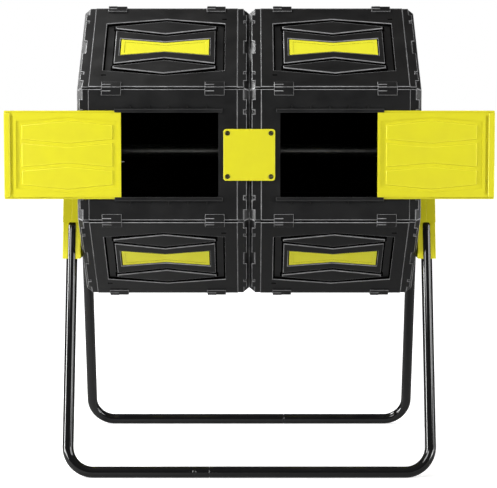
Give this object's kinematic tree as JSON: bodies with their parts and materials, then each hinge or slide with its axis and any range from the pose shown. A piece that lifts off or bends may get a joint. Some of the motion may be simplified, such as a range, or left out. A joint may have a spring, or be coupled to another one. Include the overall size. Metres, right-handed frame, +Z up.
{
  "type": "compost tumbler",
  "caption": "Free-standing compost tumbler: faceted drums joined on a level axle in a splayed tube stand, with a sliding door on each drum.",
  "frame": {"origin": "on the floor, at the middle of the box round the whole tumbler with both doors open", "axes": "+X along the axle toward the right-hand door, +Y from the door side to the back, +Z up"},
  "size_m": [0.948, 0.6126, 0.9243],
  "materials": {
    "black_plastic": "fine satin moulded polypropylene, slightly worn edges",
    "yellow_plastic": "smooth satin moulded polypropylene",
    "insert_yellow": "smooth satin moulded polypropylene",
    "bush_plastic": "dense natural nylon, dyed black",
    "gloss_black_tube": "gloss black powder coat on steel tube",
    "zinc_steel": "zinc-plated steel"
  },
  "bodies": {
    "stand": {"axle": "zinc_steel", "axle_caps": "black_plastic", "left_bracket_inner": "yellow_plastic", "left_bracket_outer": "yellow_plastic", "right_bracket_inner": "yellow_plastic", "right_bracket_outer": "yellow_plastic", "front_long_tube": "gloss_black_tube", "front_short_tube": "gloss_black_tube", "rear_long_tube": "gloss_black_tube", "rear_short_tube": "gloss_black_tube", "leg_plugs": "black_plastic", "leg_bolts": "zinc_steel", "snap_buttons": "gloss_black_tube"},
    "left_door": {"left_door": "yellow_plastic"},
    "right_door": {"right_door": "yellow_plastic"},
    "drum": {"left_panel_1": "black_plastic", "left_panel_2": "black_plastic", "left_panel_3": "black_plastic", "left_panel_4": "black_plastic", "left_panel_5": "black_plastic", "left_panel_6": "black_plastic", "right_panel_1": "black_plastic", "right_panel_2": "black_plastic", "right_panel_3": "black_plastic", "right_panel_4": "black_plastic", "right_panel_5": "black_plastic", "right_panel_6": "black_plastic", "left_insert_1": "insert_yellow", "left_insert_2": "insert_yellow", "left_insert_3": "insert_yellow", "left_insert_4": "insert_yellow", "left_insert_5": "insert_yellow", "left_insert_6": "insert_yellow", "right_insert_1": "insert_yellow", "right_insert_2": "insert_yellow", "right_insert_3": "insert_yellow", "right_insert_4": "insert_yellow", "right_insert_5": "insert_yellow", "right_insert_6": "insert_yellow", "left_door_panel": "black_plastic", "right_door_panel": "black_plastic", "left_inner_end": "black_plastic", "right_inner_end": "black_plastic", "left_outer_end": "black_plastic", "right_outer_end": "black_plastic", "left_fins": "black_plastic", "right_fins": "black_plastic", "left_clips": "black_plastic", "right_clips": "black_plastic", "left_bush": "bush_plastic", "right_bush": "bush_plastic", "joining_plate": "yellow_plastic", "plate_screws": "zinc_steel", "coupling_bolts": "zinc_steel"}
  },
  "joints": [
    {"name": "drum_spin", "type": "hinge", "parent": "stand", "child": "drum", "pos_m": [0, 0, 0.6288], "axis": [-1, 0, 0], "range_deg": [-25, 200]},
    {"name": "left_door_slide", "type": "slide", "parent": "drum", "child": "left_door", "axis": [1, 0, 0], "range_m": [0, 0.196]},
    {"name": "right_door_slide", "type": "slide", "parent": "drum", "child": "right_door", "axis": [-1, 0, 0], "range_m": [0, 0.196]}
  ]
}
